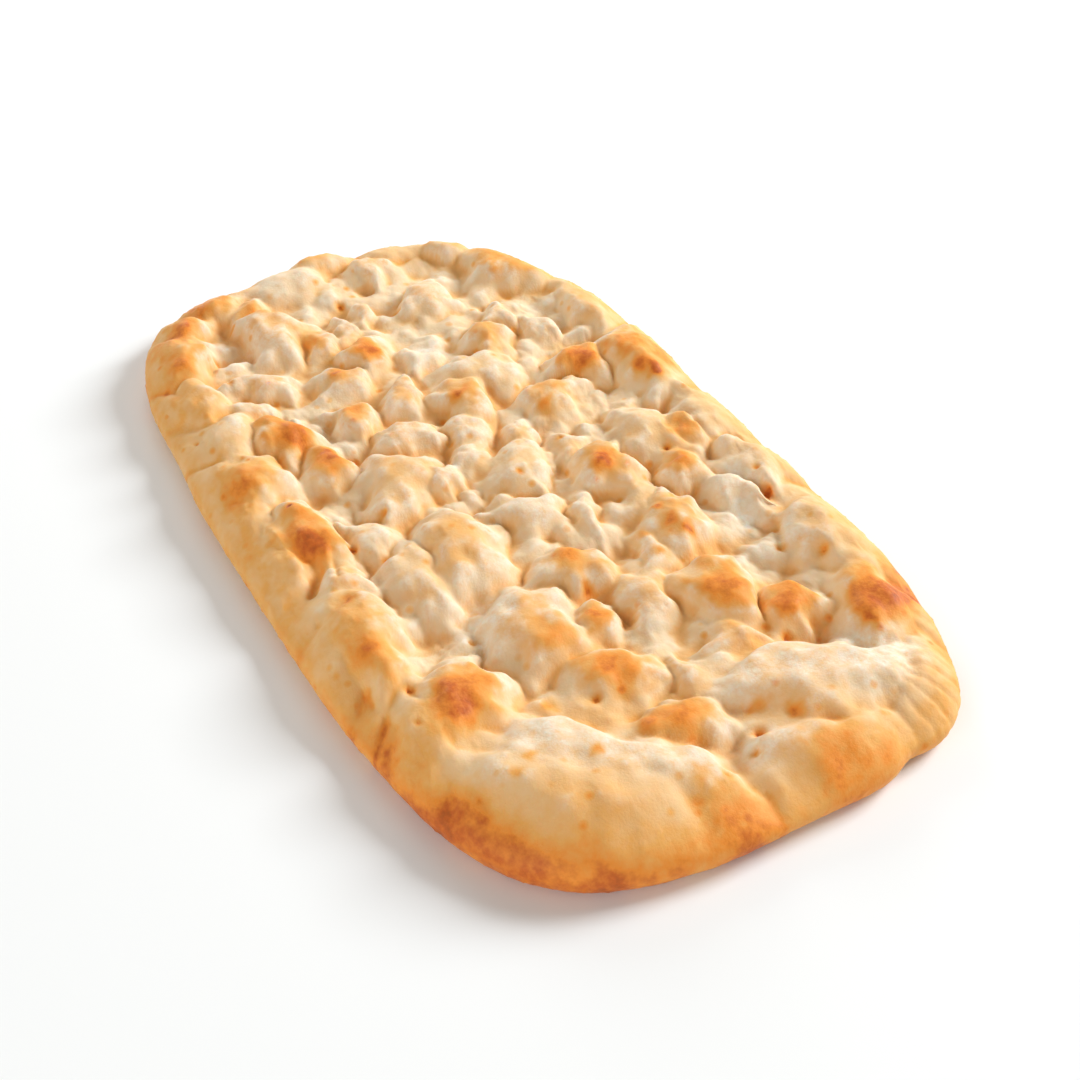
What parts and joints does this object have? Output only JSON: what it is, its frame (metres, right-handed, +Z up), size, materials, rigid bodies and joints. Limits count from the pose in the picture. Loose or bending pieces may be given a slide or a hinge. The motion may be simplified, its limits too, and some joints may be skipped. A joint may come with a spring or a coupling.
{
  "type": "pinsa base",
  "caption": "Long oval flatbread base, baked golden, with finger dimples between puffed mounds, a raised crust rim and a flat underside to lie on while it is topped.",
  "frame": {"origin": "centre of the bread's bounding box, on the plane of its flat underside", "axes": "+X along the bread's length towards its full, puffed end; +Y across its width; +Z up, out of the dimpled top"},
  "size_m": [0.3054, 0.1672, 0.0207],
  "materials": {
    "crust": "matt baked wheat crust, cream in the dimples, golden on the mounds and toasted brown on the highest spots and along the rim"
  },
  "bodies": {
    "root": {"pinsa_base": "crust"}
  },
  "joints": []
}
